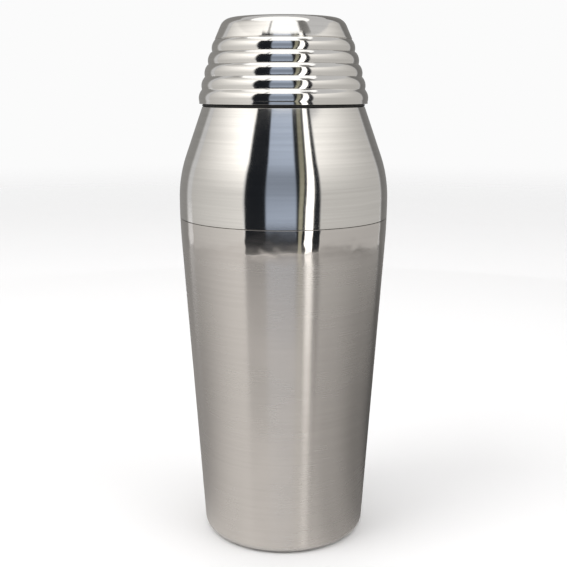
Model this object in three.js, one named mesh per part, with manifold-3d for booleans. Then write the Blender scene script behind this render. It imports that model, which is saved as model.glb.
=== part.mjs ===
// Cocktail shaker of the cobbler kind, spun and pressed from thin stainless steel sheet.
// A tapered tumbler, a lift-off top with a built-in strainer, and a ribbed cap that pulls off
// the neck. Every piece is turned about the same upright axis.
// Millimetres, +Z up. The origin is the middle of the standing ring, on the surface below it.

import * as THREE from "three";
import { mergeVertices } from "three/addons/utils/BufferGeometryUtils.js";
import Module from "manifold-3d";

const wasm = await Module();
wasm.setup();

// ---- Driving dimensions ----------------------------------------------------------------

const HEIGHT = 226; // standing ring to the top of the cap
const BELLY_RADIUS = 45; // widest ring, outside
const BELLY_Z = 149; // height of the widest ring
const SHEET = 0.8; // sheet thickness of the tumbler, shoulder, neck and cap
const FIT = 0.1; // radial clearance of a part that slides or is spot-welded in another
const SIDES = 40; // facets round every turned piece

// Tumbler
const FOOT_RADIUS = 36.25; // outside, just above the foot's bend
const FOOT_BEND = 4; // outside radius of that bend
const WALL_LEAN = 0.064; // how far the tumbler's wall widens per millimetre of height
const BELLY_CURVE = 270; // radius of the gentle curve from the leaning wall to the belly
const PUNT_HEIGHT = 2; // how far the bottom is pressed up inside the standing ring
const PUNT_RADIUS = 25;
const STANDING_RING_RADIUS = 28; // inner edge of the ring that touches the table

// Joint between the tumbler and the top
const SEAM_Z = 143;
const SEAM_GAP = 0.3;
const SPIGOT_DEPTH = 11; // how far the spigot reaches down into the tumbler
const SPIGOT_HOLD = 10; // how far it reaches up inside the shoulder

// Shoulder
const SHOULDER_CURVE = 55; // radius of the curve above the belly
const SHOULDER_CURVE_Z = BELLY_Z + 2; // height at which that curve starts
const SHOULDER_LEAN = THREE.MathUtils.degToRad(19.5);
const LEDGE_Z = 189.9; // flat ledge that the cap closes over

// Neck, seal and strainer
const NECK_RADIUS = 29;
const NECK_TOP_Z = 205;
const NECK_FLANGE_RADIUS = 33;
const SEAL_RADII = [31, 34.6];
const SEAL_Z = [LEDGE_Z + FIT, LEDGE_Z + 0.85];
const STRAINER_SKIRT = 6.4; // depth of the strainer's straight side
const BOWL_DEPTH = 8;
const BOWL_EDGE = 26.5; // radius at which the bowl starts
const BOWL_STEP = 0.8; // height of the bend between the straight side and the bowl
const HOLE_RADIUS = 1.5;
const HOLE_SIDES = 10;
const HOLE_RINGS = [[0, 1], [6.5, 6], [13, 12], [19.5, 18]]; // ring radius, holes in it

// Cap
const CAP_RIM_Z = LEDGE_Z + 1.05;
const RIBS = 5;
const RIB_PITCH = 5.1;
const RIB_CURVE = 5.2; // radius of a rib's rounded section
const RIB_TURN = [-15, 40].map(THREE.MathUtils.degToRad); // where that curve starts and ends
const CREST_Z = 193.3; // height of the lowest rib's crest
const CREST_RADIUS = 36; // cap's radius there
const CREST_LEAN = THREE.MathUtils.degToRad(12.5);
const CREST_CURVE = 180; // radius of the gentle curve that the crests follow
const BAND_FOOT_Z = 217.5; // lower edge of the plain band, above the last groove
const BAND_TOP_Z = 222.9; // where the plain band turns over into the flat top
const BAND_TOP_RADIUS = 26.5;
const BAND_GROOVE = [0.45, 0.3]; // how far the last groove lies inside and below that edge
const BAND_LEAN = THREE.MathUtils.degToRad(24);
const CAP_SLEEVE_Z = 193; // lower edge of the sleeve that grips the neck
const CAP_SLEEVE_TOP_Z = 205.9; // where the sleeve starts to flare out
const CAP_SLEEVE_FLARE = [0.9, 1]; // how far the flare goes out and up

// ---- Materials -------------------------------------------------------------------------

const steel = (color, roughness) =>
  new THREE.MeshStandardMaterial({ color, roughness, metalness: 1 });

const SATIN_STEEL = steel(0xb8b2ac, 0.3);
const POLISHED_STEEL = steel(0xd2cec9, 0.12);
const INNER_STEEL = steel(0xa9a59f, 0.4);
const BLACK_RUBBER = new THREE.MeshStandardMaterial({ color: 0x151413, roughness: 0.8, metalness: 0 });

// ---- Outlines and solids ---------------------------------------------------------------

const point = (radius, z) => new THREE.Vector2(radius, z);

// Points on a circle about (radius, z), from one angle to another, both ends included.
function arc(radius, z, size, from, to, steps) {
  return Array.from({ length: steps + 1 }, (_, i) => {
    const angle = from + ((to - from) * i) / steps;
    return point(radius + size * Math.cos(angle), z + size * Math.sin(angle));
  });
}

// Each point moved to the left of the line's direction, so that the new line runs at that distance.
function offsetLine(line, distance) {
  return line.map((here, i) => {
    const before = line[Math.max(i - 1, 0)];
    const after = line[Math.min(i + 1, line.length - 1)];
    const into = (i > 0 ? here.clone().sub(before) : after.clone().sub(here)).normalize();
    const out = (i < line.length - 1 ? after.clone().sub(here) : into.clone()).normalize();
    const mitre = into.clone().add(out).normalize();
    const moved = here.clone().add(point(-mitre.y, mitre.x).multiplyScalar(distance / mitre.dot(into)));
    return here.x === 0 ? point(0, moved.y) : moved;
  });
}

// The closed outline of a sheet whose visible face is the line, with its thickness to the left.
function sheet(line, thickness = SHEET) {
  const outline = [...line, ...offsetLine(line, thickness).reverse()];
  return line[0].x === 0 || line.at(-1).x === 0 ? outline : closed(outline);
}

const closed = (outline) => [...outline, outline[0].clone()];

// A sheet whose line ends on the axis starts its outline there, because a turned outline has to.
function fromAxis(outline) {
  const first = outline.findIndex((p, i) => p.x === 0 && outline[(i + 1) % outline.length].x === 0);
  if (first < 0 || first === outline.length - 1) return outline;
  return [...outline.slice(first + 1), ...outline.slice(0, first + 1)];
}

// A turned piece: the outline swept round the axis, which stands along Z.
const turned = (outline) => new THREE.LatheGeometry(fromAxis(outline), SIDES).rotateX(Math.PI / 2);

function piece(name, geometry, material) {
  const mesh = new THREE.Mesh(geometry, material);
  mesh.name = name;
  return mesh;
}

function solidFrom(geometry) {
  const bare = geometry.clone();
  bare.deleteAttribute("normal");
  bare.deleteAttribute("uv");
  const merged = mergeVertices(bare, 1e-4);
  return new wasm.Manifold(
    new wasm.Mesh({
      numProp: 3,
      vertProperties: merged.attributes.position.array,
      triVerts: new Uint32Array(merged.index.array),
    }),
  );
}

function geometryFrom(solid) {
  const { vertProperties, triVerts } = solid.getMesh();
  return new THREE.BufferGeometry()
    .setAttribute("position", new THREE.BufferAttribute(vertProperties, 3))
    .setIndex(new THREE.BufferAttribute(triVerts, 1));
}

// ---- Lines that neighbouring pieces share ----------------------------------------------

// Radius of the outside between the tumbler's straight wall and the belly.
const bellyRadius = (z) => BELLY_RADIUS - BELLY_CURVE + Math.sqrt(BELLY_CURVE ** 2 - (BELLY_Z - z) ** 2);

const WALL_ANGLE = Math.atan(WALL_LEAN);
const WALL_TOP_Z = BELLY_Z - BELLY_CURVE * Math.sin(WALL_ANGLE);

// Lean and radius, at a height, of the line that the ribs' crests follow.
const crestLean = (z) => Math.asin(Math.sin(CREST_LEAN) + (z - CREST_Z) / CREST_CURVE);
const crestRadius = (z) => CREST_RADIUS - CREST_CURVE * (Math.cos(CREST_LEAN) - Math.cos(crestLean(z)));

// ---- Tumbler ---------------------------------------------------------------------------

function tumbler() {
  const bendRadius = FOOT_RADIUS - FOOT_BEND * Math.cos(WALL_ANGLE);
  const rimZ = SEAM_Z - SEAM_GAP / 2;
  const belly = [0, 0.5, 1].map((t) => {
    const z = WALL_TOP_Z + (rimZ - WALL_TOP_Z) * t;
    return point(bellyRadius(z), z);
  });
  const outside = [
    point(0, PUNT_HEIGHT),
    point(PUNT_RADIUS, PUNT_HEIGHT),
    point(STANDING_RING_RADIUS, 0),
    ...arc(bendRadius, FOOT_BEND, FOOT_BEND, -Math.PI / 2, -WALL_ANGLE, 5),
    ...belly,
  ];
  return piece("tumbler", turned(sheet(outside)), SATIN_STEEL);
}

// ---- Top: shoulder, spigot, neck, seal and strainer ------------------------------------

function shoulder() {
  const edgeZ = SEAM_Z + SEAM_GAP / 2;
  const curve = arc(BELLY_RADIUS - SHOULDER_CURVE, SHOULDER_CURVE_Z, SHOULDER_CURVE, 0, SHOULDER_LEAN, 5);
  const coneFoot = curve.at(-1);
  const ledgeRadius = coneFoot.x - (LEDGE_Z - coneFoot.y) * Math.tan(SHOULDER_LEAN);
  const outside = [
    point(bellyRadius(edgeZ), edgeZ),
    point(BELLY_RADIUS, BELLY_Z),
    ...curve,
    point(ledgeRadius, LEDGE_Z),
    point(NECK_RADIUS + 2 * FIT, LEDGE_Z),
  ];
  return piece("shoulder", turned(sheet(outside)), POLISHED_STEEL);
}

// The sleeve welded inside the shoulder's lower edge, which slips down into the tumbler.
function spigotSleeve() {
  const inside = (z) => bellyRadius(z) - SHEET - FIT;
  const lowZ = SEAM_Z - SPIGOT_DEPTH;
  const outside = [
    point(inside(lowZ) - FIT, lowZ),
    point(inside(SEAM_Z) - FIT / 2, SEAM_Z),
    point(inside(SEAM_Z) - FIT / 2, SEAM_Z + SPIGOT_HOLD),
  ];
  return piece("spigot_sleeve", turned(sheet(outside)), INNER_STEEL);
}

// The neck is a drawn tube with a flange that is welded under the shoulder's ledge.
function neckCollar() {
  const flangeZ = LEDGE_Z - SHEET - FIT;
  const outside = [
    point(NECK_FLANGE_RADIUS, flangeZ),
    point(NECK_RADIUS, flangeZ),
    point(NECK_RADIUS, NECK_TOP_Z),
  ];
  return piece("neck_collar", turned(sheet(outside)), POLISHED_STEEL);
}

// The black ring on the ledge that the cap's rim closes against.
function neckSeal() {
  const [inner, outer] = SEAL_RADII;
  const [low, high] = SEAL_Z;
  const outline = closed([point(inner, low), point(outer, low), point(outer, high), point(inner, high)]);
  return piece("neck_seal", turned(outline), BLACK_RUBBER);
}

// A pierced bowl that hangs in the neck by a flange on the neck's top edge.
function strainer() {
  const topZ = NECK_TOP_Z + FIT + SHEET;
  const skirtRadius = NECK_RADIUS - 2 * SHEET - FIT;
  const bowlZ = topZ - STRAINER_SKIRT;
  const bowlCurve = (BOWL_EDGE ** 2 + BOWL_DEPTH ** 2) / (2 * BOWL_DEPTH);
  const bowlSpan = Math.asin(BOWL_EDGE / bowlCurve);
  const bowlCentreZ = bowlZ - BOWL_DEPTH + bowlCurve;
  const bowl = arc(0, bowlCentreZ, bowlCurve, -Math.PI / 2 + bowlSpan, -Math.PI / 2, 5);
  bowl.at(-1).x = 0;
  const outline = [
    point(NECK_RADIUS, topZ),
    point(skirtRadius, topZ),
    point(skirtRadius, bowlZ + BOWL_STEP),
    ...bowl,
  ];
  let solid = solidFrom(turned(sheet(outline)));

  const drill = new THREE.CylinderGeometry(HOLE_RADIUS, HOLE_RADIUS, 4 * BOWL_DEPTH, HOLE_SIDES);
  drill.rotateX(Math.PI / 2);
  for (const [radius, count] of HOLE_RINGS) {
    for (let i = 0; i < count; i++) {
      const angle = (2 * Math.PI * i) / count;
      const hole = drill.clone().translate(radius * Math.cos(angle), radius * Math.sin(angle), bowlZ);
      solid = solid.subtract(solidFrom(hole));
    }
  }
  return piece("strainer", geometryFrom(solid), POLISHED_STEEL);
}

// ---- Cap -------------------------------------------------------------------------------

// Each rib is rounded and steps in to the next. The plain band above them turns over into the
// flat top.
function capShell() {
  const crests = Array.from({ length: RIBS }, (_, i) => CREST_Z + i * RIB_PITCH);
  const ribs = crests.flatMap((z) => arc(crestRadius(z) - RIB_CURVE, z, RIB_CURVE, ...RIB_TURN, 4));
  const bandFootRadius = BAND_TOP_RADIUS + (BAND_TOP_Z - BAND_FOOT_Z) * Math.tan(BAND_LEAN);
  const topBend = (HEIGHT - BAND_TOP_Z) / (1 - Math.sin(BAND_LEAN));
  const flatRadius = BAND_TOP_RADIUS - topBend * Math.cos(BAND_LEAN);
  const outside = [
    point(ribs[0].x, CAP_RIM_Z),
    ...ribs,
    point(bandFootRadius - BAND_GROOVE[0], BAND_FOOT_Z - BAND_GROOVE[1]),
    point(bandFootRadius, BAND_FOOT_Z),
    ...arc(flatRadius, HEIGHT - topBend, topBend, BAND_LEAN, Math.PI / 2, 4),
    point(0, HEIGHT),
  ];
  return piece("cap_shell", turned(sheet(outside)), POLISHED_STEEL);
}

// The sleeve welded inside the cap by its flared top, which grips the neck.
function capSleeve() {
  const radius = NECK_RADIUS + FIT + SHEET;
  const outside = [
    point(radius, CAP_SLEEVE_Z),
    point(radius, CAP_SLEEVE_TOP_Z),
    point(radius + CAP_SLEEVE_FLARE[0], CAP_SLEEVE_TOP_Z + CAP_SLEEVE_FLARE[1]),
  ];
  return piece("cap_sleeve", turned(sheet(outside)), INNER_STEEL);
}

// ---- Assembly --------------------------------------------------------------------------

const top = new THREE.Group();
top.add(shoulder(), spigotSleeve(), neckCollar(), neckSeal(), strainer());

const cap = new THREE.Group();
cap.add(capShell(), capSleeve());

const shaker = new THREE.Group();
shaker.add(tumbler(), top, cap);

export default shaker;
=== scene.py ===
"""Cocktail shaker: the looks of its turned steel pieces, on a pale studio floor.

Metres, +Z up, the same frame as the CAD model. Each CAD node is replaced by a finely turned piece
of the same size, with rounded edges and a steel or rubber finish made from shader nodes.
"""

import math

import bpy
from mathutils import Matrix, Vector

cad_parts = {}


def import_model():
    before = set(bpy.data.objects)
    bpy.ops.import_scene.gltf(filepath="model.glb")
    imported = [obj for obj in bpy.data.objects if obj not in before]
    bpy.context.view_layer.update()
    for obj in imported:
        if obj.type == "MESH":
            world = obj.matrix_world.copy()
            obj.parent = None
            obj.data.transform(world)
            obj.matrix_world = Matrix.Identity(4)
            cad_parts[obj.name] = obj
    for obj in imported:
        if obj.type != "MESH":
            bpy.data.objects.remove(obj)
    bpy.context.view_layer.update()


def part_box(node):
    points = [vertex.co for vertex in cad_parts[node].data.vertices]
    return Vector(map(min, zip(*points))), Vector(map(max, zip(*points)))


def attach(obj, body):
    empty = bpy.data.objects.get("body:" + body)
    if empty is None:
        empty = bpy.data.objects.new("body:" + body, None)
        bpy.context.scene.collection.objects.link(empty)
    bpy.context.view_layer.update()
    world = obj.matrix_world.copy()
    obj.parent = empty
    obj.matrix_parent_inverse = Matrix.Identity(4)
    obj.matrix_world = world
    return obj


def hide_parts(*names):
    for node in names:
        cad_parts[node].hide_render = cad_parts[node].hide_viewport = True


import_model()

MM = 0.001
SHEET = 0.8 * MM  # thickness of every pressed piece
ROUND = 160  # steps round a turned piece
SHARP = math.radians(32)  # a steeper corner than this is shaded as an edge
ON_AXIS = 1e-7  # a point nearer to the axis than this lies on it
FIT = 0.1 * MM  # clearance between pieces that slide or are welded


# ---- Section lines -----------------------------------------------------------------------------
# A line is a list of (radius, height) points. A section is a closed line.


def arc(radius, height, size, start, end, steps):
    """Points on a circle about (radius, height), from one angle to another, both ends included."""
    angles = [start + (end - start) * i / steps for i in range(steps + 1)]
    return [(radius + size * math.cos(a), height + size * math.sin(a)) for a in angles]


def bent(corners, steps=6):
    """The line through corners of (radius, height, bend), with each corner rounded to its bend."""
    points = [Vector(corner[:2]) for corner in corners]
    line = []
    for i, corner in enumerate(corners):
        bend = corner[2] if len(corner) > 2 else 0
        if i in (0, len(corners) - 1) or bend == 0:
            line.append(tuple(points[i]))
            continue
        back = (points[i - 1] - points[i]).normalized()
        ahead = (points[i + 1] - points[i]).normalized()
        half = back.angle(ahead) / 2
        centre = points[i] + (back + ahead).normalized() * bend / math.sin(half)
        first = points[i] + back * bend / math.tan(half) - centre
        last = points[i] + ahead * bend / math.tan(half) - centre
        turn = first.angle_signed(last)
        for step in range(steps + 1):
            line.append(tuple(centre + Matrix.Rotation(-turn * step / steps, 2) @ first))
    return line


def thickened(line):
    """The section of a sheet: the line is its visible face, and its thickness is to the left.

    Free ends are rounded over. An end on the axis stays there, so that the piece closes.
    """
    left, right = [], []
    for i, here in enumerate(line):
        before, after = line[max(i - 1, 0)], line[min(i + 1, len(line) - 1)]
        along = (Vector(after) - Vector(before)).normalized()
        normal = Vector((-along.y, along.x))
        if here[0] == 0:
            normal = Vector((0, math.copysign(1, normal.y)))
        right.append(Vector(here))
        left.append(Vector(here) + normal * SHEET)

    def rim(a, b, outward):
        """Points of the rounded rim from a to b, standing inward of the line's own end."""
        middle, reach = (a + b) / 2, SHEET * 0.15
        side = (b - a) / 2
        return [
            middle - side * math.cos(angle) - outward * reach * (1 - math.sin(angle))
            for angle in (math.pi * k / 6 for k in range(7))
        ]

    start_out = (Vector(line[0]) - Vector(line[1])).normalized()
    end_out = (Vector(line[-1]) - Vector(line[-2])).normalized()
    section = list(right)
    back = list(reversed(left))
    if line[-1][0] > 0:
        section = section[:-1] + rim(right[-1], left[-1], end_out)
        back = back[1:]
    if line[0][0] > 0:
        section = rim(left[0], right[0], start_out) + section[1:]
        back = back[:-1]
    return [tuple(p) for p in section + back]


# ---- Meshes ------------------------------------------------------------------------------------


def turned(name, section):
    """A mesh object: the section swept round Z.

    Its UV map "Lathe" holds the turn round the axis and the millimetres run along the section.
    """
    mesh = bpy.data.meshes.new(name)
    count = len(section)
    runs = [0.0]
    for a, b in zip(section, section[1:] + section[:1]):
        runs.append(runs[-1] + math.dist(a, b))

    vertices, rings = [], []
    for radius, height in section:
        if radius < ON_AXIS:
            rings.append([len(vertices)] * ROUND)
            vertices.append((0, 0, height))
            continue
        rings.append([len(vertices) + k for k in range(ROUND)])
        for k in range(ROUND):
            angle = 2 * math.pi * k / ROUND
            vertices.append((radius * math.cos(angle), radius * math.sin(angle), height))

    faces, uvs = [], []
    for i in range(count):
        j = (i + 1) % count
        if section[i][0] < ON_AXIS and section[j][0] < ON_AXIS:
            continue
        for k in range(ROUND):
            m = (k + 1) % ROUND
            corners = [
                (rings[i][k], k, runs[i]),
                (rings[i][m], k + 1, runs[i]),
                (rings[j][m], k + 1, runs[i + 1]),
                (rings[j][k], k, runs[i + 1]),
            ]
            kept = [c for n, c in enumerate(corners) if c[0] != corners[n - 1][0]]
            faces.append([c[0] for c in kept])
            uvs.extend((c[1] / ROUND, c[2] / MM) for c in kept)
    mesh.from_pydata(vertices, [], faces)
    layer = mesh.uv_layers.new(name="Lathe")
    for loop, uv in zip(layer.data, uvs):
        loop.uv = uv
    mesh.validate()
    mesh.shade_smooth()
    mesh.set_sharp_from_angle(angle=SHARP)
    piece = bpy.data.objects.new(name, mesh)
    bpy.context.scene.collection.objects.link(piece)
    return piece


def finish_piece(piece, node, body, material):
    """Puts the piece on its body in place of the CAD node."""
    piece.data.materials.append(material)
    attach(piece, body)
    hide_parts(node)


# ---- Materials ---------------------------------------------------------------------------------


class Nodes:
    """A material's node tree, with a short way to add and link nodes."""

    def __init__(self, name):
        self.material = bpy.data.materials.new(name)
        self.material.use_nodes = True
        self.tree = self.material.node_tree
        self.tree.nodes.clear()

    def add(self, kind, inputs=None, **settings):
        """Adds a node. An input given as a socket is linked, and any other value is set."""
        node = self.tree.nodes.new(kind)
        for key, value in settings.items():
            setattr(node, key, value)
        for key, value in (inputs or {}).items():
            if isinstance(value, bpy.types.NodeSocket):
                self.tree.links.new(value, node.inputs[key])
            else:
                node.inputs[key].default_value = value
        return node

    def math(self, operation, a, b=0.0, c=0.0):
        return self.add("ShaderNodeMath", {0: a, 1: b, 2: c}, operation=operation).outputs[0]

    def noise(self, vector, scale, detail=3.0, roughness=0.6):
        settings = {"Vector": vector, "Scale": scale, "Detail": detail, "Roughness": roughness}
        return self.add("ShaderNodeTexNoise", settings).outputs["Fac"]

    def ramp(self, value, low, high, to_low, to_high):
        """value taken from the range low..high to to_low..to_high, and held at the ends."""
        inputs = {
            "Value": value,
            "From Min": low,
            "From Max": high,
            "To Min": to_low,
            "To Max": to_high,
        }
        return self.add("ShaderNodeMapRange", inputs).outputs["Result"]

    def mix(self, amount, first, second):
        """The color from first to second, by an amount from 0 to 1."""
        return self.add("ShaderNodeMixRGB", {0: amount, 1: first, 2: second}).outputs[0]

    def blend(self, amount, first, second):
        """The shader from first to second, by an amount from 0 to 1."""
        inputs = {0: amount, 1: first.outputs[0], 2: second.outputs[0]}
        return self.add("ShaderNodeMixShader", inputs).outputs[0]

    def output(self, shader):
        self.add("ShaderNodeOutputMaterial", {"Surface": shader})
        return self.material


def steel(name, color, roughness, brushed, line_depth, streaks, patches=0.1, rim=None):
    """Turned stainless steel.

    Fine lines run round the axis. brushed, from 0 to 1, is how far they draw a reflection out
    across themselves. line_depth is their depth in metres, streaks is how much the coarser ones
    darken, and patches is how much the roughness varies. rim is the height and the roughness of
    a rim band, where the finish changes upwards over a ragged edge.
    """
    n = Nodes(name)
    place = n.add("ShaderNodeTexCoord").outputs["Object"]
    lathe = n.add("ShaderNodeUVMap", uv_map="Lathe").outputs["UV"]
    run = n.add("ShaderNodeSeparateXYZ", {0: lathe}).outputs["Y"]
    x, y, height = n.add("ShaderNodeSeparateXYZ", {0: place}).outputs

    def lines(per_mm, length_mm):
        """Noise that changes quickly along the section and slowly round the axis."""
        slow = 1 / (length_mm * MM)
        parts = {
            0: n.math("MULTIPLY", x, slow),
            1: n.math("MULTIPLY", y, slow),
            2: n.math("MULTIPLY", run, per_mm),
        }
        return n.noise(n.add("ShaderNodeCombineXYZ", parts).outputs[0], 1.0, 2.0)

    coarse = lines(0.9, 90.0)
    grain = n.math("MULTIPLY_ADD", coarse, 0.4, n.math("MULTIPLY", lines(5.0, 30.0), 0.6))
    cloud = n.noise(place, 28.0)
    base = roughness
    waves = None
    if rim:
        start, rim_roughness = rim
        end = start + RIM_FADE
        ragged = n.math("MULTIPLY_ADD", n.noise(place, 160.0), RIM_FADE, height)
        base = n.ramp(ragged, start, end, roughness, rim_roughness)
        amount = n.ramp(ragged, start, end, 0.0, 1.0)
        rise = n.math("MULTIPLY", amount, n.noise(place, 150.0, 1.0))
        waves = n.add("ShaderNodeBump", {"Strength": 1.0, "Distance": RIM_WAVES, "Height": rise})
    spread = n.math(
        "ADD",
        n.ramp(grain, 0.3, 0.7, 0.95, 1.05),
        n.ramp(cloud, 0.35, 0.65, -patches, patches),
    )
    streaked = [c * (1 - streaks) for c in color]
    tint = n.mix(n.ramp(coarse, 0.35, 0.65, 0.0, 1.0), [*streaked, 1], [*color, 1])
    bump = n.add("ShaderNodeBump", {"Strength": 1.0, "Distance": line_depth, "Height": grain})
    if waves:
        n.tree.links.new(waves.outputs[0], bump.inputs["Normal"])
    tangent = n.add("ShaderNodeTangent", direction_type="RADIAL", axis="Z")
    settings = {
        "Base Color": tint,
        "Metallic": 1.0,
        "Roughness": n.math("MULTIPLY", spread, base),
        "Anisotropic": brushed,
        "Anisotropic Rotation": 0.25,
        "Tangent": tangent.outputs[0],
        "Normal": bump.outputs[0],
    }
    return n.output(n.add("ShaderNodeBsdfPrincipled", settings).outputs[0])


def rubber(name):
    """Black rubber with a fine matt grain."""
    n = Nodes(name)
    place = n.add("ShaderNodeTexCoord").outputs["Object"]
    grain = n.noise(place, 4000.0)
    bloom = n.noise(place, 120.0)
    dark, pale = (0.006, 0.006, 0.006, 1), (0.014, 0.013, 0.012, 1)
    tint = n.mix(n.ramp(bloom, 0.4, 0.7, 0.0, 1.0), dark, pale)
    bump = n.add("ShaderNodeBump", {"Strength": 0.6, "Distance": 0.04 * MM, "Height": grain})
    shader = n.add(
        "ShaderNodeBsdfPrincipled",
        {
            "Base Color": tint,
            "Roughness": n.ramp(bloom, 0.3, 0.7, 0.6, 0.8),
            "Normal": bump.outputs[0],
        },
    )
    return n.output(shader.outputs[0])


RIM_FADE = 5 * MM  # height over which the rim band's edge is ragged
RIM_WAVES = 0.08 * MM  # height of the waves in the rim band
RIM_BAND = (131 * MM, 0.07)

SATIN = steel("satin_steel", (0.58, 0.555, 0.53), 0.26, 1.0, 0.0005 * MM, 0.03, rim=RIM_BAND)
POLISHED = steel("polished_steel", (0.66, 0.645, 0.62), 0.09, 0.6, 0.004 * MM, 0.07, 0.15)
INNER = steel("inner_steel", (0.48, 0.46, 0.43), 0.36, 0.5, 0.002 * MM, 0.06, 0.2)
RUBBER = rubber("black_rubber")


# ---- Places shared by the pieces, all from the CAD model ---------------------------------------

tumbler_low, tumbler_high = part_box("tumbler")
shoulder_low, shoulder_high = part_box("shoulder")
spigot_low, spigot_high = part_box("spigot_sleeve")
neck_low, neck_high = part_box("neck_collar")
seal_low, seal_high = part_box("neck_seal")
strainer_low, strainer_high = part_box("strainer")
cap_low, cap_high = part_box("cap_shell")
sleeve_low, sleeve_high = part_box("cap_sleeve")

BELLY = shoulder_high.x  # radius of the widest ring
BELLY_Z = 149 * MM
BELLY_CURVE = 270 * MM
WALL_ANGLE = math.atan(0.064)
WALL_TOP_Z = BELLY_Z - BELLY_CURVE * math.sin(WALL_ANGLE)
SEAM_CLOSE = 0.07 * MM  # how far each rim at the seam comes nearer, because rounding widens the gap


def belly_radius(z):
    """Outside radius between the tumbler's straight wall and the belly."""
    return BELLY - BELLY_CURVE + math.sqrt(BELLY_CURVE**2 - (BELLY_Z - z) ** 2)


def belly_line(low, high, steps):
    """Points of the gentle curve below the belly, from one height to another."""
    heights = [low + (high - low) * i / steps for i in range(steps + 1)]
    return [(belly_radius(z), z) for z in heights]


# ---- Pieces ------------------------------------------------------------------------------------


def tumbler():
    """A cup with its bottom pressed up inside the ring that it stands on."""
    foot_radius, foot_bend = 36.25 * MM, 4 * MM
    punt_radius, punt_z, punt_bend = 25 * MM, 2 * MM, 4 * MM
    ring_inner, ring_outer, ring_bend = 28 * MM, 31 * MM, 3 * MM
    corners = [
        (0, punt_z),
        (punt_radius, punt_z, punt_bend),
        (ring_inner, 0, ring_bend),
        (ring_outer, 0),
    ]
    bend = arc(foot_radius - foot_bend, foot_bend, foot_bend, -math.pi / 2, -WALL_ANGLE, 12)
    line = bent(corners, 5)[:-1] + bend + belly_line(WALL_TOP_Z, tumbler_high.z + SEAM_CLOSE, 10)
    piece = turned("tumbler_cup", thickened(line))
    finish_piece(piece, "tumbler", "cup", SATIN)


def shoulder():
    """The belly's upper half, the cone above it, and the flat ledge round the neck."""
    curve, lean = 55 * MM, math.radians(19.5)
    ledge_bend, ledge_width = 0.5 * MM, 3.8 * MM  # the width counts from the neck's flange inwards
    curve_z = BELLY_Z + 2 * MM
    above = arc(BELLY - curve, curve_z, curve, 0, lean, 14)
    foot_r, foot_z = above[-1]
    ledge_z = shoulder_high.z
    ledge_r = foot_r - (ledge_z - foot_z) * math.tan(lean)
    ledge_inner = neck_high.x - ledge_width
    cone = bent([above[-1], (ledge_r, ledge_z, ledge_bend), (ledge_inner, ledge_z)], 6)
    line = belly_line(shoulder_low.z - SEAM_CLOSE, BELLY_Z, 4) + above + cone[1:]
    piece = turned("shoulder_shell", thickened(line))
    finish_piece(piece, "shoulder", "top", POLISHED)


def spigot():
    """The sleeve inside the shoulder's lower edge, narrower where it slips into the tumbler."""
    inset = SHEET + FIT
    seam_z, waist_bend = shoulder_low.z, 20 * MM
    low = (belly_radius(spigot_low.z) - inset - FIT, spigot_low.z)
    waist = belly_radius(seam_z) - inset - FIT / 2
    line = bent([low, (waist, seam_z, waist_bend), (waist, spigot_high.z)], 6)
    piece = turned("spigot_sleeve_shell", thickened(line))
    finish_piece(piece, "spigot_sleeve", "top", INNER)


def neck():
    """A tube with a flange under the shoulder's ledge."""
    flange_width, flange_bend = 4 * MM, 0.15 * MM
    tube = neck_high.x - flange_width
    flange_z = shoulder_high.z - SHEET - FIT
    line = bent([(neck_high.x, flange_z), (tube, flange_z, flange_bend), (tube, neck_high.z)], 4)
    piece = turned("neck_tube", thickened(line))
    finish_piece(piece, "neck_collar", "top", POLISHED)


def seal():
    """A flat rubber ring on the ledge."""
    width, edge = 3.6 * MM, 0.2 * MM
    inner, outer, low, high = seal_high.x - width, seal_high.x, seal_low.z, seal_high.z
    corners = [
        (inner, low),
        (outer, low, edge),
        (outer, high, edge),
        (inner, high, edge),
        (inner, low),
    ]
    piece = turned("neck_seal_ring", bent(corners, 4)[:-1])
    finish_piece(piece, "neck_seal", "top", RUBBER)


def drills(low, high):
    """An object of upright drills between two heights, one for each hole of the strainer."""
    sides, radius = 24, 1.5 * MM
    rings = ((0, 1), (6.5, 6), (13, 12), (19.5, 18))  # radius in millimetres, and holes
    mesh = bpy.data.meshes.new("drills")
    vertices, faces = [], []
    for ring, count in rings:
        for k in range(count):
            turn = 2 * math.pi * k / count
            x, y = ring * MM * math.cos(turn), ring * MM * math.sin(turn)
            first = len(vertices)
            for z in (low, high):
                for s in range(sides):
                    a = 2 * math.pi * s / sides
                    vertices.append((x + radius * math.cos(a), y + radius * math.sin(a), z))
            for s in range(sides):
                t = (s + 1) % sides
                faces.append([first + s, first + t, first + sides + t, first + sides + s])
            faces.append([first + s for s in reversed(range(sides))])
            faces.append([first + sides + s for s in range(sides)])
    mesh.from_pydata(vertices, [], faces)
    cutter = bpy.data.objects.new("drills", mesh)
    bpy.context.scene.collection.objects.link(cutter)
    return cutter


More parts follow.
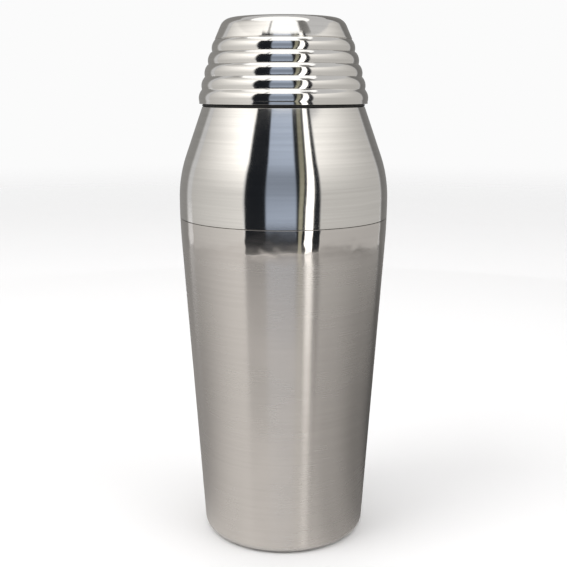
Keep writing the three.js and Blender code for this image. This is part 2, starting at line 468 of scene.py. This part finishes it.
def strainer():
    """A flanged bowl whose holes are cut through by straight drills."""
    rim, top_z, rim_bend = strainer_high.x, strainer_high.z, 0.1 * MM
    skirt, skirt_depth, skirt_bend = rim - 2 * SHEET - FIT, 6.4 * MM, 0.8 * MM
    bowl_z, depth, edge = top_z - skirt_depth, 8 * MM, 26.5 * MM
    curve = (edge**2 + depth**2) / (2 * depth)
    span = math.asin(edge / curve)
    bowl = arc(0, bowl_z - depth + curve, curve, span - math.pi / 2, -math.pi / 2, 16)
    bowl[-1] = (0, bowl[-1][1])
    corners = [
        (rim, top_z),
        (skirt, top_z, rim_bend),
        (skirt, bowl_z + skirt_bend, skirt_bend),
        bowl[0],
    ]
    piece = turned("strainer_bowl", thickened(bent(corners, 5)[:-1] + bowl))

    cutter = drills(bowl_z - 2 * depth, bowl_z + depth / 2)
    cut = piece.modifiers.new("holes", "BOOLEAN")
    cut.object, cut.operation, cut.solver = cutter, "DIFFERENCE", "EXACT"
    depsgraph = bpy.context.evaluated_depsgraph_get()
    pierced = bpy.data.meshes.new_from_object(piece.evaluated_get(depsgraph))
    piece.modifiers.clear()
    piece.data = pierced
    piece.data.set_sharp_from_angle(angle=SHARP)
    bpy.data.objects.remove(cutter)
    finish_piece(piece, "strainer", "top", POLISHED)


def cap():
    """Five rounded ribs that step in from each to the next, a plain band, and a flat top."""
    ribs, pitch, rib_curve, crest_z = 5, 5.1 * MM, 5.2 * MM, 193.3 * MM
    rib_start, rib_end = math.radians(-15), math.radians(40)
    crest, lean, curve = 36 * MM, math.radians(12.5), 180 * MM
    foot_z, foot_bend, band_lean = 217.5 * MM, 0.2 * MM, math.radians(24)
    band_top, band_top_z = 26.5 * MM, 222.9 * MM
    groove_in, groove_down, groove_bend = 0.45 * MM, 0.3 * MM, 0.1 * MM
    top_z = cap_high.z

    def crest_radius(z):
        """Radius at height z of the gentle curve that the crests follow."""
        lean_here = math.asin(math.sin(lean) + (z - crest_z) / curve)
        return crest - curve * (math.cos(lean) - math.cos(lean_here))

    line = []
    for i in range(ribs):
        z = crest_z + i * pitch
        line += arc(crest_radius(z) - rib_curve, z, rib_curve, rib_start, rib_end, 14)
    line.insert(0, (line[0][0], cap_low.z))
    foot = band_top + (band_top_z - foot_z) * math.tan(band_lean)
    corners = [
        line.pop(),
        (foot - groove_in, foot_z - groove_down, groove_bend),
        (foot, foot_z, foot_bend),
        (band_top, band_top_z),
    ]
    line += bent(corners, 4)[:-1]
    bend = (top_z - band_top_z) / (1 - math.sin(band_lean))
    bend_radius = band_top - bend * math.cos(band_lean)
    line += arc(bend_radius, top_z - bend, bend, band_lean, math.pi / 2, 14)
    line.append((0, top_z))
    piece = turned("cap_shell_turned", thickened(line))
    finish_piece(piece, "cap_shell", "cap", POLISHED)


def cap_sleeve():
    """The sleeve inside the cap, flared out at its upper end."""
    flare_out, flare_up, flare_bend = 0.9 * MM, 1 * MM, 0.6 * MM
    radius = sleeve_high.x - flare_out
    outer_z = sleeve_high.z - 0.54 * MM  # the sheet's inner edge stands this much higher
    corners = [
        (radius, sleeve_low.z),
        (radius, outer_z - flare_up, flare_bend),
        (sleeve_high.x, outer_z),
    ]
    piece = turned("cap_sleeve_shell", thickened(bent(corners, 5)))
    finish_piece(piece, "cap_sleeve", "cap", INNER)


for make in (tumbler, shoulder, spigot, neck, seal, strainer, cap, cap_sleeve):
    make()


# ---- Studio ------------------------------------------------------------------------------------


def link(name, mesh, material):
    """A stage object from a mesh."""
    mesh.materials.append(material)
    thing = bpy.data.objects.new(name, mesh)
    bpy.context.scene.collection.objects.link(thing)
    return thing


def only_in_reflections(thing):
    """Hides a stage object from the camera and from matt surfaces, and lets it cast no shadow."""
    thing.visible_camera = False
    thing.visible_diffuse = False
    thing.visible_shadow = False


def card(
    name, azimuths, heights, distance, low, high, color, soft=0.05, lean=(0, 0), rise=(0, 1)
):
    """An upright curved card that shows only in reflections.

    azimuths are in degrees to the right of the front, at the lower edge, and lean is what they
    gain by the upper edge. low and high are the brightness at the two ends of its lower edge and
    of its upper edge. soft is the share of its width that each side edge takes to fade out, and
    rise is the part of its height over which the brightness changes from low to high.
    """
    steps = 48
    vertices, faces, across = [], [], []
    for i in range(steps + 1):
        for upper, z in enumerate(heights):
            first, last = (math.radians(azimuths[end] + upper * lean[end]) for end in (0, 1))
            a = first + (last - first) * i / steps
            vertices.append((distance * math.sin(a), -distance * math.cos(a), z))
            across.append((i / steps, upper))
    for i in range(steps):
        faces.append([2 * i, 2 * i + 2, 2 * i + 3, 2 * i + 1])
    mesh = bpy.data.meshes.new(name)
    mesh.from_pydata(vertices, [], faces)
    layer = mesh.uv_layers.new(name="Card")
    for loop in mesh.loops:
        layer.data[loop.index].uv = across[loop.vertex_index]

    n = Nodes(name)
    uv = n.add("ShaderNodeUVMap", uv_map="Card").outputs["UV"]
    place = n.add("ShaderNodeSeparateXYZ", {0: uv}).outputs
    lower = n.ramp(place["X"], 0.0, 1.0, *low)
    upper = n.ramp(place["X"], 0.0, 1.0, *high)
    strength = n.ramp(place["Y"], *rise, lower, upper)
    light = n.add("ShaderNodeEmission", {"Color": (*color, 1), "Strength": strength})
    clear = n.add("ShaderNodeBsdfTransparent")
    start = n.ramp(place["X"], 0.0, soft, 0.0, 1.0)
    end = n.ramp(place["X"], 1.0 - soft, 1.0, 1.0, 0.0)
    shader = n.blend(n.math("MULTIPLY", start, end), clear, light)
    only_in_reflections(link(name, mesh, n.output(shader)))


def disc(name, radius, height, hole=0.0):
    """The mesh of a flat ring or disc about the axis."""
    steps = 96
    mesh = bpy.data.meshes.new(name)
    vertices, faces = [], []
    for k in range(steps):
        a = 2 * math.pi * k / steps
        for r in (hole, radius):
            vertices.append((r * math.sin(a), -r * math.cos(a), height))
        j = (k + 1) % steps
        faces.append([2 * k, 2 * k + 1, 2 * j + 1, 2 * j])
    mesh.from_pydata(vertices, [], faces)
    return mesh


# Brightness of the table in reflections, at azimuths in degrees to the right of the front.
TABLE_TONES = (
    (-180, 0.32),
    (180, 0.32),
    (-120, 0.42),
    (-50, 0.88),
    (-20, 0.95),
    (10, 0.9),
    (50, 0.5),
    (100, 0.25),
    (140, 0.12),
)


def table_tone():
    """A ring just above the floor that sets how bright the floor looks in the steel, by azimuth."""
    radius, hole, height = 0.62, 0.037, 0.4 * MM
    n = Nodes("table_tone")
    coordinates = n.add("ShaderNodeTexCoord").outputs["Object"]
    place = n.add("ShaderNodeSeparateXYZ", {0: coordinates}).outputs
    back = n.math("MULTIPLY", place["Y"], -1.0)
    azimuth = n.math("ARCTAN2", place["X"], back)
    ramp = n.add("ShaderNodeValToRGB", {0: n.ramp(azimuth, -math.pi, math.pi, 0.0, 1.0)})
    ramp.color_ramp.interpolation = "EASE"
    for i, (degrees, tone) in enumerate(TABLE_TONES):
        where = (degrees + 180) / 360
        stop = ramp.color_ramp.elements[i] if i < 2 else ramp.color_ramp.elements.new(where)
        stop.position = where
        stop.color = (tone, tone * 0.965, tone * 0.93, 1)
    light = n.add("ShaderNodeEmission", {"Color": ramp.outputs[0], "Strength": 1.0})
    mesh = disc("table_tone", radius, height, hole)
    only_in_reflections(link("table_tone", mesh, n.output(light.outputs[0])))


def ceiling():
    """A soft white panel overhead, a little to the front."""
    n = Nodes("ceiling")
    light = n.add("ShaderNodeEmission", {"Color": (1, 1, 1, 1), "Strength": 1.7})
    panel = link("ceiling", disc("ceiling", 0.9, 0.0), n.output(light.outputs[0]))
    panel.location = (-0.15, -0.6, 1.3)
    only_in_reflections(panel)


def floor():
    """A pale matt floor that fades into the backdrop far from the shaker."""
    n = Nodes("floor")
    place = n.add("ShaderNodeTexCoord").outputs["Object"]
    tint = n.mix(n.noise(place, 3.0), (0.80, 0.795, 0.79, 1), (0.83, 0.825, 0.82, 1))
    shader = n.add("ShaderNodeBsdfPrincipled", {"Base Color": tint, "Roughness": 0.7})
    far = n.add("ShaderNodeVectorMath", {0: place}, operation="LENGTH").outputs["Value"]
    fade = n.add("ShaderNodeMapRange", {"Value": far, "From Min": 0.4, "From Max": 2.2})
    fade.interpolation_type = "SMOOTHSTEP"
    clear = n.add("ShaderNodeBsdfTransparent")
    link("floor", disc("floor", 2.4, 0.0), n.output(n.blend(fade.outputs[0], shader, clear)))


def backdrop():
    """A white dome that only the camera sees. Reflections and the floor get the world's light."""
    n = Nodes("backdrop")
    light = n.add("ShaderNodeEmission", {"Color": (0.985, 0.985, 0.985, 1), "Strength": 0.98})
    radius, steps, rings = 4.0, 48, 24
    vertices, faces = [], []
    for i in range(rings + 1):
        up = math.pi * (i / rings - 0.5)
        for k in range(steps):
            a = 2 * math.pi * k / steps
            flat = radius * math.cos(up)
            vertices.append((flat * math.cos(a), flat * math.sin(a), radius * math.sin(up)))
    for i in range(rings):
        for k in range(steps):
            j = (k + 1) % steps
            faces.append([i * steps + k, i * steps + j, (i + 1) * steps + j, (i + 1) * steps + k])
    mesh = bpy.data.meshes.new("backdrop")
    mesh.from_pydata(vertices, [], faces)
    dome = link("backdrop", mesh, n.output(light.outputs[0]))
    dome.visible_glossy = False
    dome.visible_diffuse = False
    dome.visible_shadow = False


def lamp(name, place, size, power):
    """A round soft lamp that shines at the shaker and doesn't show in reflections."""
    aim = Vector((0, 0, 0.1))
    light = bpy.data.lights.new(name, "AREA")
    light.shape = "DISK"
    light.size = size
    light.energy = power
    lit = bpy.data.objects.new(name, light)
    lit.location = place
    lit.rotation_euler = (aim - Vector(place)).to_track_quat("-Z", "Y").to_euler()
    lit.visible_glossy = False
    bpy.context.scene.collection.objects.link(lit)


def world():
    """An even, nearly white light from all round."""
    made = bpy.data.worlds.new("studio")
    made.use_nodes = True
    background = made.node_tree.nodes["Background"]
    background.inputs["Color"].default_value = (0.93, 0.93, 0.94, 1)
    background.inputs["Strength"].default_value = 0.8
    bpy.context.scene.world = made


def camera():
    """The camera looks at the axis at about half the shaker's height, from 12.1 degrees above."""
    aim, distance, elevation = Vector((0, 0, 0.1124)), 0.4007, math.radians(12.1)
    lens = bpy.data.cameras.new("camera")
    lens.sensor_width = 36
    lens.lens = 57.1
    lens.clip_start = 0.01
    seen = bpy.data.objects.new("camera", lens)
    seen.location = aim + distance * Vector((0, -math.cos(elevation), math.sin(elevation)))
    seen.rotation_euler = (math.pi / 2 - elevation, 0, 0)
    bpy.context.scene.collection.objects.link(seen)
    bpy.context.scene.camera = seen


WARM, COOL, OLIVE = (1.0, 0.98, 0.95), (0.76, 0.88, 1.1), (1, 0.96, 0.72)
UPWARD = (0.35, 0.85)  # the part of a panel's height over which it brightens

card("left_panel", (-116, -41), (0, 0.6), 0.55, (0.68, 1.05), (0.85, 2.1), WARM, 0.03, rise=UPWARD)
card("left_top", (-112, -30), (0.6, 0.95), 0.55, (0.75, 1.9), (0.35, 1.6), WARM, 0.05)
card(
    "right_panel", (36.5, 128), (0, 0.6), 0.55, (0.79, 0.64), (1.5, 0.66), WARM, 0.02, (3, 0), UPWARD
)
card("rear_panel", (127, 237), (0, 0.8), 0.56, (0.22, 0.36), (0.22, 0.36), WARM)
card("dark_backing", (-41, 38), (0, 0.63), 0.485, (0.02, 0.02), (0.02, 0.02), COOL, 0.02, (0, 3))
card("dark_post", (30, 54), (0.6, 1.0), 0.485, (0.22, 0.3), (0.22, 0.3), WARM, 0.15)
card("pale_post", (-31, -25), (0.6, 1.0), 0.485, (0.6, 0.6), (0.6, 0.6), WARM, 0.3)
card("blue_low", (-19, 14), (0.06, 0.26), 0.475, (0.66, 0.7), (0.4, 0.4), COOL, 0.06)
card(
    "blue_high", (-19, 14), (0.26, 0.62), 0.475, (0.42, 0.42), (0.72, 0.76), COOL, 0.06,
    rise=(0.2, 0.6),
)
card("olive_strip", (14.5, 18.5), (0, 0.62), 0.475, (0.5, 0.5), (0.3, 0.3), OLIVE, 0.1, (5, 8))
card("bright_strip", (21, 29.8), (0, 0.63), 0.475, (3.2, 3.2), (2.0, 2.0), WARM, 0.1, (8, 6.5))
table_tone()
ceiling()
floor()
backdrop()
lamp("key", (-0.9, -0.5, 1.3), 1.0, 11)
lamp("fill", (0.9, -0.5, 1.1), 1.0, 5)
lamp("top", (0, 0.3, 1.6), 1.2, 7)
world()
camera()
bpy.context.scene.view_settings.view_transform = "Standard"
